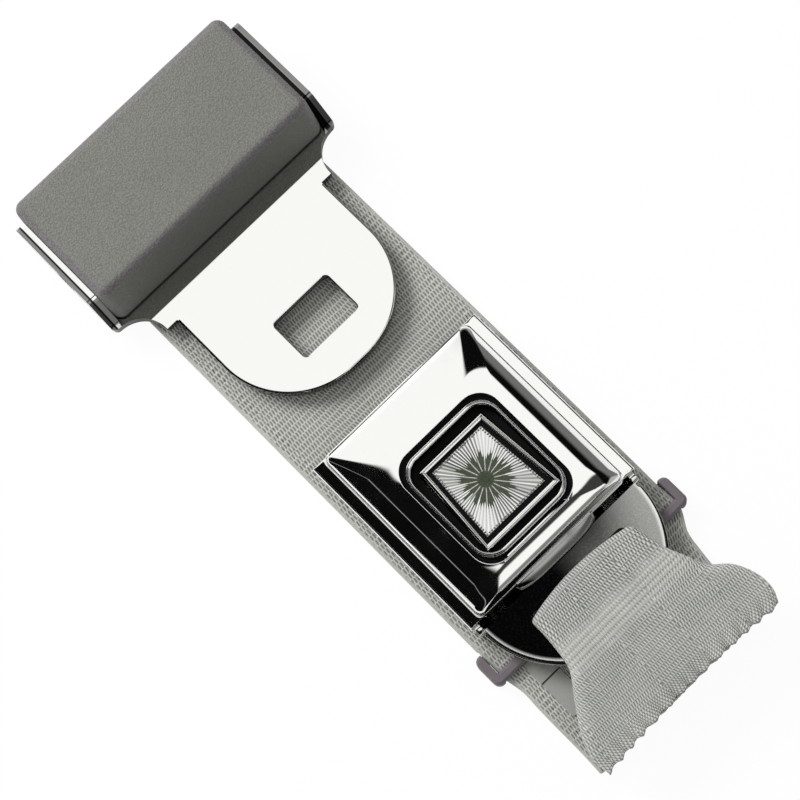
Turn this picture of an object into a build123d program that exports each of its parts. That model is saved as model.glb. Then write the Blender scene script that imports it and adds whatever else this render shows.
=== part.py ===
from build123d import *
import os
from math import cos, radians, sin

# A push-button lap belt buckle with its tongue drawn out and laid in line with it.
# Millimetres. +X runs from the tongue to the buckle's webbing stub, +Z up.
# The origin is on the surface the belt lies on, under the middle of the push button.

# webbing
web_width = 49.0
web_thick = 1.2
layer_gap = 0.1        # air between two layers that lie on each other
strap_end_x = 55.4
tail_end_x = 21.5      # where the free end of the belt stops, under the buckle

# tongue
tongue_gauge = 2.2
tongue_width = 41.0
tongue_rise = 1.8      # from the upper layer of the strap to the plate's underside
nose_x = -36.7
nose_radius = 38.0
shoulder_radius = 18.5
neck_x = -69.8         # where the insert plate widens into the neck
neck_width = 46.4
ear_land = 1.2         # straight left between the hollow curve and an ear's corner
ear_corner = 1.1
ear_bend = 1.6         # radius under the fold of each ear
ear_top_corner = 2.0
ear_front_x = -77.0
plate_rear_x = -106.0
ear_span = 62.8
ear_top_z = 13.0
ear_rake = 5.0
ear_foot_x = -78.0
latch_slot_land = 8.2  # metal between the nose and the latch slot
latch_slot_length = 10.2
latch_slot_width = 15.0
latch_slot_corner = 1.0
window_front_x = -83.6
window_length = 16.6
window_width = 50.6
window_corner = 2.0

# adjuster bar and its cap
bar_x = -91.5
bar_z = 10.2
bar_radius = 2.6
bar_length = 51.0
journal_end_gap = 0.3  # from each journal's end to the ear's outer face
bar_play = 1.5         # how far the bar moves along its slots
journal_radius = 1.6
flute_radius = 0.35
flute_count = 12
slot_clearance = 0.2
loop_clearance = 0.3
bend_radius = 2.2      # where the webbing turns up beside the bar
cap_top_z = 17.0
cap_front_x = -77.7
cap_front_rake = 3.1
cap_rear_x = -108.9
cap_rear_rake = 0.5
cap_wall = 1.7
cap_edge_radius = 2.2
cap_skirt_z = 4.2
cap_clearance = 0.1

# buckle frame
frame_gauge = 1.3
channel_clearance = 0.2
frame_front_x = -25.8
frame_rear_x = 17.6
wall_top_z = 9.0
wall_bend = 1.0        # radius under each side wall
lug_end_x = 20.5       # each wall ends in a low rounded lug beside the step
lug_top_z = 7.2
lug_corner = 1.8
jog_length = 3.2
tail_z = 6.6
tail_radius = 21.4
tail_centre_x = 20.1
tail_roll = 0.8
web_slot_x = 24.4
web_slot_length = 3.4
web_slot_width = 26.0
web_slot_corner = 1.5

# cover
cover_gauge = 0.6
cover_front_x = -26.4
cover_rear_x = 18.5
crease_width = 39.8
skirt_depth = 3.4
skirt_roll = 1.1
rim_front_x = -14.4
rim_rear_x = 14.1
rim_width = 25.2
rim_z = 14.6
rim_corner = 5.6
bead_height = 0.5
bead_round = 0.8       # share of the bead's height that its sloping edges take
crease_corner = 2.5
corner_steps = 5       # straight steps round each corner of the slope
well_corner = 4.0
well_length = 24.4
well_width = 21.8
well_depth = 3.9
lip_width = 21.2       # short lip rolled down from the middle of the rear edge
lip_reach = 1.3
lip_drop = 1.4

# push button
button_length = 20.4
button_front_width = 17.2
button_rear_width = 19.4
button_top_z = 14.2
button_wall = 1.0
button_floor_z = 13.0
button_skirt_z = 9.9
button_travel = 1.9
rim_band = 0.9
insert_gap = 0.95
insert_depth = 0.8
insert_proud = 0.1
lug_width = 6.0
lug_thick = 1.0
foot_length = 1.6
foot_width = 8.0
foot_gap = 0.15        # between the foot at full press and the raised heel
guide_clearance = 0.25
guide_top_z = 12.6
guide_bottom_z = 10.2
guide_flange = 2.2
guide_slack = 0.1      # between the guide and the well's wall

# latch
pivot_x = 2.2
pivot_z = 8.15
pin_radius = 0.8
barrel_radius = 1.4
bore_clearance = 0.05
latch_width = 12.0
hook_rear_x = -5.75
hook_thick = 2.15
hook_tip_z = 4.1
arm_gauge = 1.0
arm_z = 6.75
heel_x = 8.7
heel_rise = 0.8
latch_swing = 18.5     # from engaged to raised

# ejector
ejector_length = 6.0
ejector_front_x = -7.0
ejector_height = 2.3
ejector_notch = 1.8
spring_radius = 1.05
ejector_corner = 0.6
spring_wire = 0.35
spring_spread = 24.0
release_spring_x = -3.5
release_spring_radius = 2.0
release_spring_length = 2.0

# keeper
keeper_x = 22.5
keeper_length = 7.2
keeper_bar = 2.2
keeper_side = 1.9
keeper_clearance = 0.1
keeper_under_z = 0.05
keeper_over_z = 2.9
keeper_over_thick = 1.5
keeper_corner = 1.4
keeper_edge = 0.5
keeper_belly = 1.3      # the rear bar and its ends are cut away below this

# blank patch sewn on the strap
patch_x = 29.8
patch_length = 14.0
patch_width = 4.8
patch_inset = 6.9      # from the strap's edge to the patch's middle
patch_corner = 0.4
patch_thick = 0.25

# webbing stub of the buckle half
stub_neck = 25.0
stub_end_width = 48.0
stub_end_x = 56.0
stub_end_z = 12.6
stub_shoulder_x = 47.0
stub_clearance = 0.35
stub_waist = 3.0       # how far the flare has opened half way to the shoulder
lower_leg_end_x = 54.0

# levels and widths that follow
tail_layer_z = web_thick / 2
top_layer_z = web_thick + layer_gap + web_thick / 2
strap_top_z = 2 * web_thick + layer_gap
tongue_z = strap_top_z + tongue_rise
tongue_top_z = tongue_z + tongue_gauge
frame_z = strap_top_z + layer_gap
frame_top_z = frame_z + frame_gauge
channel_width = tongue_width + 2 * channel_clearance
frame_width = channel_width + 2 * frame_gauge
cover_width = frame_width + 2 * cover_gauge
latch_slot_x = nose_x - latch_slot_land - latch_slot_length
window_rear_x = window_front_x - window_length
ear_inner_width = ear_span - 2 * tongue_gauge
neck_sweep = (ear_span - neck_width) / 2 - ear_land   # hollow curve between neck and ears
patch_y = -(web_width / 2 - patch_inset)

os.makedirs("parts", exist_ok=True)


def save(piece, name):
    """Label a finished piece and write it."""
    piece.part.label = name
    export_step(piece.part, f"parts/{name}.step")


def block(x0, x1, width, z0, z1, mode=Mode.ADD):
    """A block centred on the XZ plane."""
    with Locations(((x0 + x1) / 2, 0, (z0 + z1) / 2)):
        Box(x1 - x0, width, z1 - z0, mode=mode)


def button_outline(inset, corner=0.4):
    """The push button's outline: a trapezoid, wider at the tail end."""
    front = button_front_width / 2 - inset
    rear = button_rear_width / 2 - inset
    end = button_length / 2 - inset
    with BuildSketch() as outline:
        with BuildLine():
            Polyline((-end, -front), (end, -rear), (end, rear), (-end, front), close=True)
        make_face()
        if corner:
            fillet(outline.vertices(), corner)
    return outline.sketch


# ---------------------------------------------------------------- tongue half
with BuildPart() as tongue_plate:
    with BuildSketch(Plane.XY.offset(tongue_z)):
        with BuildLine():
            half_tongue = tongue_width / 2
            big_x = nose_x - nose_radius
            shoulder_y = half_tongue - shoulder_radius
            reach = ((nose_radius - shoulder_radius) ** 2 - shoulder_y**2) ** 0.5
            shoulder_x = big_x + reach
            meet = Vector(shoulder_x - big_x, shoulder_y).normalized() * nose_radius
            bow = Vector(shoulder_x, shoulder_y) + Vector(1, 1).normalized() * shoulder_radius
            nose_run = ThreePointArc((big_x + meet.X, -meet.Y), (nose_x, 0), (big_x + meet.X, meet.Y))
            side = ThreePointArc(nose_run @ 1, bow, (shoulder_x, half_tongue))
            edge_run = Polyline(
                side @ 1, (neck_x, half_tongue), (neck_x, neck_width / 2), (ear_front_x + neck_sweep, neck_width / 2)
            )
            hollow = CenterArc(
                (ear_front_x + neck_sweep, neck_width / 2 + neck_sweep), neck_sweep, 270, -90
            )
            back = Polyline(hollow @ 1, (ear_front_x, ear_span / 2), (plate_rear_x, ear_span / 2), (plate_rear_x, 0))
            mirror(side, about=Plane.XZ)
            mirror(edge_run, about=Plane.XZ)
            mirror(hollow, about=Plane.XZ)
            mirror(back, about=Plane.XZ)
        make_face()
        ear_corners = vertices().group_by(Axis.Y)[0] + vertices().group_by(Axis.Y)[-1]
        fillet(ear_corners.filter_by(lambda v: v.X > plate_rear_x + 1), ear_corner)
        with Locations((latch_slot_x + latch_slot_length / 2, 0)):
            RectangleRounded(latch_slot_length, latch_slot_width, latch_slot_corner, mode=Mode.SUBTRACT)
        with Locations((window_rear_x + window_length / 2, 0)):
            RectangleRounded(window_length, window_width, window_corner, mode=Mode.SUBTRACT)
    extrude(amount=tongue_gauge)
    for y in (-ear_span / 2 + tongue_gauge, ear_span / 2):
        with BuildSketch(Plane.XZ.offset(-y)) as ear:
            with BuildLine():
                Polyline(
                    (plate_rear_x, tongue_z),
                    (plate_rear_x, ear_top_z),
                    (ear_foot_x - ear_rake, ear_top_z),
                    (ear_foot_x, tongue_top_z),
                    (ear_foot_x, tongue_z),
                    close=True,
                )
            make_face()
            fillet(ear.vertices().group_by(Axis.Y)[-1], ear_top_corner)
            with Locations((bar_x + bar_play / 2, bar_z)):
                SlotOverall(
                    bar_play + 2 * (journal_radius + slot_clearance),
                    2 * (journal_radius + slot_clearance),
                    mode=Mode.SUBTRACT,
                )
        extrude(amount=tongue_gauge)
    bends = tongue_plate.edges().filter_by(Axis.X).group_by(Axis.Z)[0]
    fillet(bends.filter_by(lambda e: abs(e.center().Y) > ear_inner_width / 2), ear_bend)
save(tongue_plate, "tongue_plate")

with BuildPart() as adjuster_bar:
    with BuildSketch(Plane.XZ.offset(-bar_length / 2)):
        with Locations((bar_x, bar_z)):
            Circle(bar_radius)
            with PolarLocations(bar_radius, flute_count):
                Circle(flute_radius, mode=Mode.SUBTRACT)
    extrude(amount=bar_length)
    journal_length = ear_span - 2 * journal_end_gap
    with BuildSketch(Plane.XZ.offset(-journal_length / 2)):
        with Locations((bar_x, bar_z)):
            Circle(journal_radius)
    extrude(amount=journal_length)
save(adjuster_bar, "adjuster_bar")

with BuildPart() as tongue_cover:
    cap_width = ear_inner_width - 2 * cap_clearance
    seat_z = tongue_top_z + cap_clearance
    with BuildSketch(Plane.XZ.offset(-cap_width / 2)):
        with BuildLine():
            Polyline(
                (cap_rear_x, cap_skirt_z),
                (plate_rear_x - cap_clearance, cap_skirt_z),
                (plate_rear_x - cap_clearance, seat_z),
                (cap_front_x, seat_z),
                (cap_front_x - cap_front_rake, cap_top_z),
                (cap_rear_x + cap_rear_rake, cap_top_z),
                close=True,
            )
        make_face()
    extrude(amount=cap_width)
    crown = tongue_cover.edges().group_by(Axis.Z)[-1]
    corners = tongue_cover.edges().filter_by(
        lambda e: abs(e.tangent_at(0).Z) > 0.9 and abs(e.center().Y) > cap_width / 2 - 1
    )
    outer = corners.filter_by(lambda e: e.length > cap_top_z - seat_z - 0.1)
    fillet(crown + outer, cap_edge_radius)
    with BuildSketch(Plane.XZ.offset(-cap_width / 2 + cap_wall)):
        with BuildLine():
            Polyline(
                (cap_rear_x + cap_wall, seat_z),
                (cap_front_x - cap_wall, seat_z),
                (cap_front_x - cap_wall - cap_front_rake, cap_top_z - cap_wall),
                (cap_rear_x + cap_rear_rake + cap_wall, cap_top_z - cap_wall),
                close=True,
            )
        make_face()
    extrude(amount=cap_width - 2 * cap_wall, mode=Mode.SUBTRACT)
    # its side walls are notched over the bar's journals
    notch_top_z = bar_z + journal_radius + slot_clearance
    block(
        bar_x - journal_radius - slot_clearance,
        bar_x + bar_play + journal_radius + slot_clearance,
        cap_width + 2,
        cap_skirt_z,
        notch_top_z,
        mode=Mode.SUBTRACT,
    )
save(tongue_cover, "tongue_cover")

# the strap: an upper layer from its end to the bar, a loop over the bar, and a free tail below
front_leg_x = bar_x + bar_play + bar_radius + loop_clearance + web_thick / 2
rear_leg_x = bar_x - bar_radius - loop_clearance - web_thick / 2
loop_top_z = bar_z + bar_radius + loop_clearance + web_thick / 2
crown_radius = (front_leg_x - rear_leg_x) / 2 - 0.05

with BuildPart() as strap_standing:
    block(front_leg_x + bend_radius, strap_end_x, web_width, strap_top_z - web_thick, strap_top_z)
save(strap_standing, "strap_standing")

with BuildPart() as strap_tail:
    block(rear_leg_x + bend_radius, tail_end_x, web_width, 0, web_thick)
save(strap_tail, "strap_tail")

with BuildPart() as strap_loop:
    with BuildLine(Plane.XZ) as loop_path:
        FilletPolyline(
            (front_leg_x + bend_radius, top_layer_z),
            (front_leg_x, top_layer_z),
            (front_leg_x, loop_top_z),
            (rear_leg_x, loop_top_z),
            (rear_leg_x, tail_layer_z),
            (rear_leg_x + bend_radius, tail_layer_z),
            radius=[bend_radius - 0.01, crown_radius, crown_radius, bend_radius - 0.01],
        )
    with BuildSketch(Plane(loop_path.line @ 0, x_dir=(0, 1, 0), z_dir=loop_path.line % 0)):
        Rectangle(web_width, web_thick)
    sweep()
save(strap_loop, "strap_loop")

with BuildPart() as strap_patch:
    with BuildSketch(Plane.XY.offset(strap_top_z)):
        with Locations((patch_x + patch_length / 2, patch_y)):
            RectangleRounded(patch_length, patch_width, patch_corner)
    extrude(amount=patch_thick)
save(strap_patch, "strap_patch")

with BuildPart() as web_keeper:
    keeper_width = web_width + 2 * (keeper_clearance + keeper_side)
    keeper_top_z = keeper_over_z + keeper_over_thick
    with BuildSketch(Plane.XY.offset(keeper_under_z)):
        with Locations((keeper_x + keeper_length / 2, 0)):
            RectangleRounded(keeper_length, keeper_width, keeper_corner)
            Rectangle(
                keeper_length - 2 * keeper_bar, keeper_width - 2 * keeper_side, mode=Mode.SUBTRACT
            )
    extrude(amount=keeper_top_z - keeper_under_z)
    slot_width = keeper_width - 2 * keeper_side
    block(keeper_x - 1, keeper_x + keeper_bar, slot_width, web_thick - 0.1, keeper_top_z, mode=Mode.SUBTRACT)
    block(
        keeper_x + keeper_length - keeper_bar,
        keeper_x + keeper_length + 1,
        slot_width,
        keeper_under_z,
        keeper_over_z,
        mode=Mode.SUBTRACT,
    )
    chamfer(web_keeper.edges().group_by(Axis.Z)[-1].filter_by(Axis.Y), keeper_edge)
    rear_x = keeper_x + keeper_length
    with BuildSketch(Plane.XZ.offset(-keeper_width)) as belly:
        with BuildLine():
            Polyline(
                (rear_x - keeper_bar, keeper_under_z - 1),
                (rear_x - keeper_bar, keeper_under_z),
                (rear_x - keeper_bar + keeper_belly, keeper_belly),
                (rear_x + 1, keeper_belly),
                (rear_x + 1, keeper_under_z - 1),
                close=True,
            )
        make_face()
    extrude(amount=2 * keeper_width, mode=Mode.SUBTRACT)
save(web_keeper, "web_keeper")

# ---------------------------------------------------------------- buckle half
with BuildPart() as base_frame:
    block(frame_front_x, frame_rear_x + 0.5, frame_width, frame_z, frame_top_z)
    for y in (-channel_width / 2, frame_width / 2):
        with BuildSketch(Plane.XZ.offset(-y)) as side_wall:
            with BuildLine():
                Polyline(
                    (frame_front_x, frame_z),
                    (frame_front_x, wall_top_z),
                    (frame_rear_x, wall_top_z),
                    (frame_rear_x, lug_top_z),
                    (lug_end_x, lug_top_z),
                    (lug_end_x, frame_z),
                    close=True,
                )
            make_face()
            fillet(side_wall.vertices().group_by(Axis.X)[-1].group_by(Axis.Y)[-1], lug_corner)
        extrude(amount=frame_gauge)
    low_edges = base_frame.edges().filter_by(Axis.X).group_by(Axis.Z)[0]
    fillet(low_edges.filter_by(lambda e: abs(e.center().Y) > channel_width / 2), wall_bend)
    # the pivot pin drops into notches in the wall tops
    with BuildSketch(Plane.XZ.offset(-frame_width / 2)):
        with Locations((pivot_x, pivot_z)):
            Circle(pin_radius + bore_clearance)
        with Locations((pivot_x, (pivot_z + wall_top_z) / 2)):
            Rectangle(2 * (pin_radius + bore_clearance), wall_top_z - pivot_z)
    extrude(amount=frame_width, mode=Mode.SUBTRACT)
    # the plate steps up to the half-moon tail
    jog_top_x = frame_rear_x + jog_length
    with BuildSketch(Plane.XZ.offset(-channel_width / 2)):
        with BuildLine():
            Polyline(
                (frame_rear_x, frame_z),
                (frame_rear_x, frame_top_z),
                (jog_top_x - frame_gauge / 2, tail_z + frame_gauge),
                (jog_top_x + frame_gauge, tail_z + frame_gauge),
                (jog_top_x + frame_gauge, tail_z),
                (jog_top_x, tail_z),
                (frame_rear_x + 0.9 * frame_gauge, frame_z),
                close=True,
            )
        make_face()
    extrude(amount=channel_width)
    with BuildSketch(Plane.XY.offset(tail_z)):
        with Locations((tail_centre_x, 0)):
            Circle(tail_radius)
        with Locations((jog_top_x - tail_radius, 0)):
            Rectangle(2 * tail_radius, 3 * tail_radius, mode=Mode.SUBTRACT)
    extrude(amount=frame_gauge)
    rim_edges = base_frame.edges().filter_by(
        lambda e: e.geom_type == GeomType.CIRCLE
        and abs(e.radius - tail_radius) < 0.01
        and e.center().Z > tail_z + frame_gauge / 2
    )
    chamfer(rim_edges, 0.6 * tail_roll, tail_roll)
    with BuildSketch(Plane.XY.offset(tail_z - 1)):
        with Locations((web_slot_x + web_slot_length / 2, 0)):
            RectangleRounded(web_slot_length, web_slot_width, web_slot_corner)
    extrude(amount=frame_gauge + 2, mode=Mode.SUBTRACT)
save(base_frame, "base_frame")


def pillow_level(part_way, inset=0.0):
    """The cover's outline at one height, from the crease (0) to the rim (1)."""
    front = cover_front_x + part_way * (rim_front_x - cover_front_x) + inset
    rear = cover_rear_x + part_way * (rim_rear_x - cover_rear_x) - inset
    width = crease_width + part_way * (rim_width - crease_width) - 2 * inset
    corner = crease_corner + part_way * (rim_corner - crease_corner)
    # each corner is a few straight steps, so that every facet of the slope is flat
    points = []
    for turn in range(4):
        x = rear - corner if turn in (0, 3) else front + corner
        y = (width / 2 - corner) * (1 if turn in (0, 1) else -1)
        for step in range(corner_steps + 1):
            angle = radians(90 * (turn + step / corner_steps))
            points.append((x + corner * cos(angle), y + corner * sin(angle)))
    with BuildSketch() as outline:
        with BuildLine():
            Polyline(*points, close=True)
        make_face()
    return outline.sketch


def pillow_height(part_way):
    """Height of the domed slope, steep at the crease and flat at the rim."""
    return flange_top_z + (rim_z - flange_top_z) * (1 - (1 - part_way) ** 1.5)


flange_top_z = wall_top_z + cover_gauge
outer_levels = (0, 0.14, 0.32, 0.58, 1)
inner_levels = (0, 0.25, 1)
with BuildPart() as cover_shell:
    block(cover_front_x, cover_rear_x, cover_width, flange_top_z - skirt_depth, flange_top_z)
    fillet(cover_shell.edges().filter_by(Axis.X).group_by(Axis.Z)[-1], skirt_roll)
    block(
        cover_front_x - 1,
        cover_rear_x + 1,
        frame_width + 2 * bore_clearance,
        flange_top_z - skirt_depth - 1,
        wall_top_z,
        mode=Mode.SUBTRACT,
    )
    for low, high in zip(outer_levels, outer_levels[1:]):
        for part_way in (low, high):
            with BuildSketch(Plane.XY.offset(pillow_height(part_way))):
                add(pillow_level(part_way))
        loft(ruled=True)
    for low, high in zip(inner_levels, inner_levels[1:]):
        for part_way in (low, high):
            with BuildSketch(Plane.XY.offset(pillow_height(part_way) - 1.2 * cover_gauge)):
                add(pillow_level(part_way, cover_gauge))
        loft(ruled=True, mode=Mode.SUBTRACT)
    # rolled bead and wall of the button well
    with BuildSketch(Plane.XY.offset(rim_z - 1.2 * cover_gauge)):
        with Locations(((rim_front_x + rim_rear_x) / 2, 0)):
            RectangleRounded(rim_rear_x - rim_front_x, rim_width, rim_corner)
    extrude(amount=1.2 * cover_gauge + bead_height)
    wall_z = rim_z + bead_height - well_depth
    with BuildSketch(Plane.XY.offset(wall_z)):
        RectangleRounded(well_length + 2 * cover_gauge, well_width + 2 * cover_gauge, well_corner + cover_gauge)
    extrude(amount=well_depth - bead_height)
    with BuildSketch(Plane.XY.offset(wall_z - 1)):
        RectangleRounded(well_length, well_width, well_corner)
    extrude(amount=well_depth + 2, mode=Mode.SUBTRACT)
    bead = cover_shell.edges().group_by(Axis.Z)[-1]
    chamfer(bead, bead_round * bead_height)
    with BuildSketch(Plane.XZ.offset(-lip_width / 2)):
        with BuildLine():
            Polyline(
                (cover_rear_x - cover_gauge, flange_top_z - cover_gauge),
                (cover_rear_x - cover_gauge, flange_top_z),
                (cover_rear_x + lip_reach / 2, flange_top_z - 0.2 * lip_drop),
                (cover_rear_x + lip_reach, flange_top_z - lip_drop),
                (cover_rear_x + lip_reach - 0.8 * cover_gauge, flange_top_z - lip_drop - cover_gauge / 3),
                (cover_rear_x + lip_reach / 2 - cover_gauge / 2, flange_top_z - 0.2 * lip_drop - cover_gauge),
                close=True,
            )
        make_face()
    extrude(amount=lip_width)
save(cover_shell, "cover_shell")

with BuildPart() as button_guide:
    with BuildSketch(Plane.XY.offset(guide_bottom_z)):
        RectangleRounded(well_length + guide_flange, well_width + guide_flange, well_corner + cover_gauge)
    extrude(amount=wall_z - guide_bottom_z)
    with BuildSketch(Plane.XY.offset(guide_bottom_z)):
        RectangleRounded(well_length - 2 * guide_slack, well_width - 2 * guide_slack, well_corner - guide_slack)
    extrude(amount=guide_top_z - guide_bottom_z)
    with BuildSketch(Plane.XY.offset(guide_bottom_z - 1)):
        add(button_outline(-guide_clearance, 0))
    extrude(amount=guide_top_z - guide_bottom_z + 2, mode=Mode.SUBTRACT)
save(button_guide, "button_guide")

with BuildPart() as latch_pin:
    with BuildSketch(Plane.XZ.offset(-frame_width / 2)):
        with Locations((pivot_x, pivot_z)):
            Circle(pin_radius)
    extrude(amount=frame_width)
    chamfer(latch_pin.edges().filter_by(GeomType.CIRCLE), 0.2)
save(latch_pin, "latch_pin")

# the latch is drawn raised, so that the tongue's path is clear
with BuildPart() as latch_lever:
    hook_front_x = hook_rear_x - hook_thick
    turn = Axis((pivot_x, 0, pivot_z), (0, 1, 0))
    with BuildSketch(Plane.XZ.offset(-latch_width / 2)) as side_view:
        with BuildLine():
            Polyline(
                (hook_front_x, hook_tip_z),
                (hook_front_x, arm_z + arm_gauge),
                (pivot_x - 3.5, arm_z + arm_gauge),
                (pivot_x - 0.6, pivot_z + barrel_radius - 0.2),
                (pivot_x + 1, pivot_z + heel_rise + arm_gauge),
                (heel_x, pivot_z + heel_rise + arm_gauge),
                (heel_x, pivot_z + heel_rise),
                (pivot_x + 1, pivot_z + heel_rise - 0.6),
                (pivot_x - 1, arm_z),
                (hook_rear_x, arm_z),
                (hook_rear_x, hook_tip_z + 0.8),
                (hook_rear_x - 0.4, hook_tip_z),
                close=True,
            )
        make_face()
        with Locations((pivot_x, pivot_z)):
            Circle(barrel_radius)
            Circle(pin_radius + bore_clearance, mode=Mode.SUBTRACT)
    extrude(amount=latch_width)
latch_lever.part = latch_lever.part.rotate(turn, latch_swing)
save(latch_lever, "latch_lever")

with BuildPart() as ejector:
    ejector_z = frame_top_z + 0.2
    ejector_rear_x = ejector_front_x + ejector_length
    block(ejector_front_x, ejector_rear_x, channel_width - 0.6, ejector_z, ejector_z + ejector_height)
    block(
        ejector_front_x - 1,
        ejector_front_x + ejector_notch,
        latch_width + 1,
        ejector_z - 1,
        ejector_z + ejector_height + 1,
        mode=Mode.SUBTRACT,
    )
    fillet(ejector.edges().filter_by(Axis.Z), ejector_corner)
save(ejector, "ejector")

for name, y in (("ejector_spring_a", -spring_spread / 2), ("ejector_spring_b", spring_spread / 2)):
    # each coil is drawn as its envelope
    with BuildPart() as ejector_spring:
        spring_z = ejector_z + ejector_height / 2
        with BuildSketch(Plane.YZ.offset(ejector_rear_x)):
            with Locations((y, spring_z)):
                Circle(spring_radius)
                Circle(spring_radius - spring_wire, mode=Mode.SUBTRACT)
        extrude(amount=frame_rear_x - ejector_rear_x)
    save(ejector_spring, name)

with BuildPart() as button_frame:
    with BuildSketch(Plane.XY.offset(button_floor_z)):
        add(button_outline(0))
    extrude(amount=button_top_z - button_floor_z)
    with BuildSketch(Plane.XY.offset(button_top_z - insert_depth)):
        add(button_outline(rim_band, 0))
    extrude(amount=insert_depth, mode=Mode.SUBTRACT)
    with BuildSketch(Plane.XY.offset(button_skirt_z)):
        add(button_outline(0))
        add(button_outline(button_wall, 0), mode=Mode.SUBTRACT)
    extrude(amount=button_floor_z - button_skirt_z)
    # notches straddle the pivot pin
    block(
        pivot_x - pin_radius - 0.4,
        pivot_x + pin_radius + 0.4,
        button_rear_width + 2,
        button_skirt_z - 1,
        pivot_z + pin_radius + button_travel + 0.3,
        mode=Mode.SUBTRACT,
    )
    # lugs under the guide keep the button in
    lug_z = guide_bottom_z - 0.3
    for end in (-1, 1):
        with Locations((end * (button_length / 2 - button_wall / 2 + 0.35), 0, lug_z - lug_thick / 2)):
            Box(button_wall + 0.7, lug_width, lug_thick)
    # the foot over the latch's heel
    foot_z = pivot_z + heel_rise + arm_gauge + button_travel + foot_gap
    with Locations((heel_x - foot_length / 2 - 0.1, 0, (foot_z + button_floor_z) / 2)):
        Box(foot_length, foot_width, button_floor_z - foot_z)
save(button_frame, "button_frame")

with BuildPart() as button_insert:
    with BuildSketch(Plane.XY.offset(button_top_z - insert_depth)):
        add(button_outline(rim_band + insert_gap, 0))
    extrude(amount=insert_depth + insert_proud)
save(button_insert, "button_insert")

with BuildPart() as release_spring:
    with BuildSketch(Plane.XY.offset(button_floor_z)):
        with Locations((release_spring_x, 0)):
            Circle(release_spring_radius)
            Circle(release_spring_radius - spring_wire, mode=Mode.SUBTRACT)
    extrude(amount=-release_spring_length)
save(release_spring, "release_spring")

# the webbing stub folds round the outer bar of the tail's slot
fold_x = web_slot_x + web_slot_length
lower_leg_z = tail_z - stub_clearance - web_thick / 2
upper_leg_z = tail_z + frame_gauge + stub_clearance + web_thick / 2
fold_radius = (upper_leg_z - lower_leg_z) / 2


def stub_plan(end_x):
    """Plan of the gathered webbing: narrow in the slot, full width at the cut end."""
    half_neck = stub_neck / 2
    half_end = stub_end_width / 2
    start_x = fold_x - 2 * fold_radius - web_thick
    with BuildSketch() as plan:
        with BuildLine():
            flare = Spline(
                (fold_x, -half_neck),
                ((fold_x + stub_shoulder_x) / 2, -half_neck - stub_waist),
                (stub_shoulder_x, -half_end + 1),
                tangents=((1, 0), (1, -0.2)),
            )
            Polyline(flare @ 0, (start_x, -half_neck), (start_x, 0))
            Polyline(flare @ 1, (end_x, -half_end), (end_x, 0), (start_x, 0))
        make_face()
        mirror(about=Plane.XZ)
    return plan.sketch


with BuildPart() as stub_upper:
    with BuildLine(Plane.XZ) as upper_path:
        turn_in = ThreePointArc(
            (fold_x, lower_leg_z), (fold_x - fold_radius, (lower_leg_z + upper_leg_z) / 2), (fold_x, upper_leg_z)
        )
        TangentArc(turn_in @ 1, (stub_end_x, stub_end_z), tangent=(1, 0))
    with BuildSketch(Plane(upper_path.line @ 0, x_dir=(0, 1, 0), z_dir=upper_path.line % 0)):
        Rectangle(web_width, web_thick)
    sweep()
    with BuildSketch():
        add(stub_plan(stub_end_x + 1))
    extrude(amount=stub_end_z + 10, mode=Mode.INTERSECT)
save(stub_upper, "stub_upper")

with BuildPart() as stub_lower:
    block(fold_x, lower_leg_end_x, web_width, lower_leg_z - web_thick / 2, lower_leg_z + web_thick / 2)
    with BuildSketch():
        add(stub_plan(lower_leg_end_x))
    extrude(amount=stub_end_z, mode=Mode.INTERSECT)
save(stub_lower, "stub_lower")
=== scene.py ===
# %% [markdown]
# # A push-button lap belt buckle
#
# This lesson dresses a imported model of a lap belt: a pressed steel tongue with a grained grip cap, and a
# chromed push-button buckle, both laid on their own webbing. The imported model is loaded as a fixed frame.
# Each piece made here rides on one of its bodies, so it moves when the tongue slides or the button sinks.

# %% Load the frame
import math
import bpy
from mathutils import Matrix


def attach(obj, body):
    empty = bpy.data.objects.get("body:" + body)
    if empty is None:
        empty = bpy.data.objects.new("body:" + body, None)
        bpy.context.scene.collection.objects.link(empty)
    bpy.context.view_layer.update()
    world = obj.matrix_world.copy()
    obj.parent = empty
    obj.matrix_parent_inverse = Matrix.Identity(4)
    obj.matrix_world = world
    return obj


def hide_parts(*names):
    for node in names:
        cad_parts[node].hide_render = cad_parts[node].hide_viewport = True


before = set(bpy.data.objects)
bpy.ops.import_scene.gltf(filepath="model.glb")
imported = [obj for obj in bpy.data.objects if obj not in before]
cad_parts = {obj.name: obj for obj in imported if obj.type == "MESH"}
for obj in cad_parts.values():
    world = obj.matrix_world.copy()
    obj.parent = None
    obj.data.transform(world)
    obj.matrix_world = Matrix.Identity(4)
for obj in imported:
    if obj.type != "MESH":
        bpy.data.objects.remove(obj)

from types import SimpleNamespace

import bmesh
import bpy
import numpy as np
from mathutils import Matrix, Vector

FULL_TURN = 2.0 * math.pi

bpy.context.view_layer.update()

# %% [markdown]
# ## The camera
#
# The belt is seen from above, along a line that leans a little towards the buckle's webbing. A camera is
# easiest to check when its matrix is written out: its columns are the camera's right, its up and the way
# back from the belt to the camera. A long lens keeps the perspective gentle.

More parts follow.
